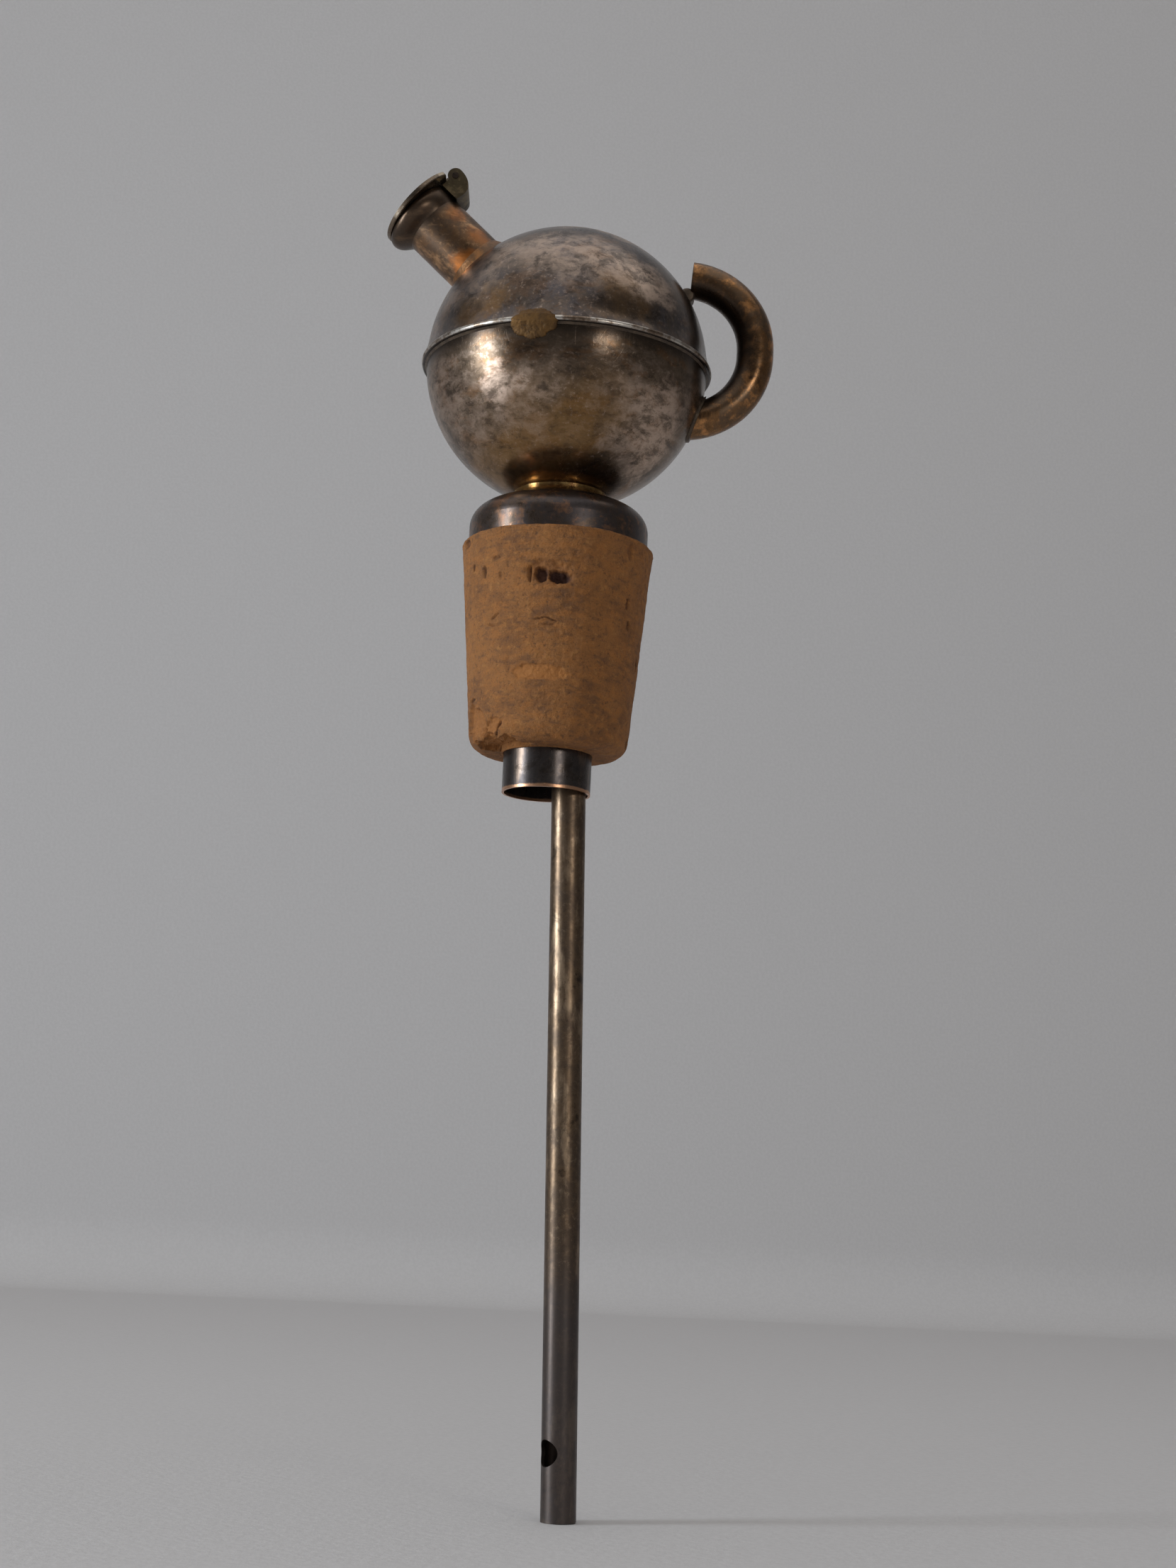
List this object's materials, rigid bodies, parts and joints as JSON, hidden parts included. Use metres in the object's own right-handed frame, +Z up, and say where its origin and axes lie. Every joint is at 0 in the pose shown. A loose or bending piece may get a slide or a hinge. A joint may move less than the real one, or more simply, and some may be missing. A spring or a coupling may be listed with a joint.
{
  "type": "bottle pourer stopper",
  "caption": "Ball-shaped pourer on a tapered cork: angled spout with a tipping lid, hollow loop handle as air inlet and a long vent tube.",
  "frame": {"origin": "on the stopper's axis, in the plane where the collar sits on the cork's top", "axes": "+Z up along the cork and sleeve, -X towards the spout, +X towards the handle"},
  "size_m": [0.0501, 0.0369, 0.1663],
  "materials": {
    "plated": "tarnished silver plate worn through to brass",
    "neck_brass": "bare brass, polished by wear",
    "worn_tube": "brown tarnished brass tube with traces of plating",
    "solder": "dull grey soft solder",
    "old_solder": "rough brown oxidised solder",
    "pin_wire": "dark drawn wire",
    "cork": "natural agglomerated cork, dry and worn"
  },
  "bodies": {
    "pourer": {"upper_bowl": "plated", "lower_bowl": "plated", "seam_solder": "solder", "belt_solder": "old_solder", "spout_tube": "plated", "spout_solder": "solder", "hinge_bracket": "plated", "hinge_pin": "pin_wire", "handle_tube": "plated", "handle_root_solder": "solder", "handle_tip_solder": "solder", "collar": "plated", "neck_ring": "neck_brass", "sleeve_tube": "worn_tube", "cork": "cork", "vent_tube": "worn_tube", "vent_elbow": "worn_tube", "elbow_solder": "solder", "vent_coupling": "worn_tube", "vent_solder": "solder"},
    "lid": {"lid": "plated"}
  },
  "joints": [
    {"name": "lid_hinge", "type": "hinge", "parent": "pourer", "child": "lid", "pos_m": [-0.0154, 0, 0.0483], "axis": [0, 1, 0], "range_deg": [0, 105]}
  ]
}
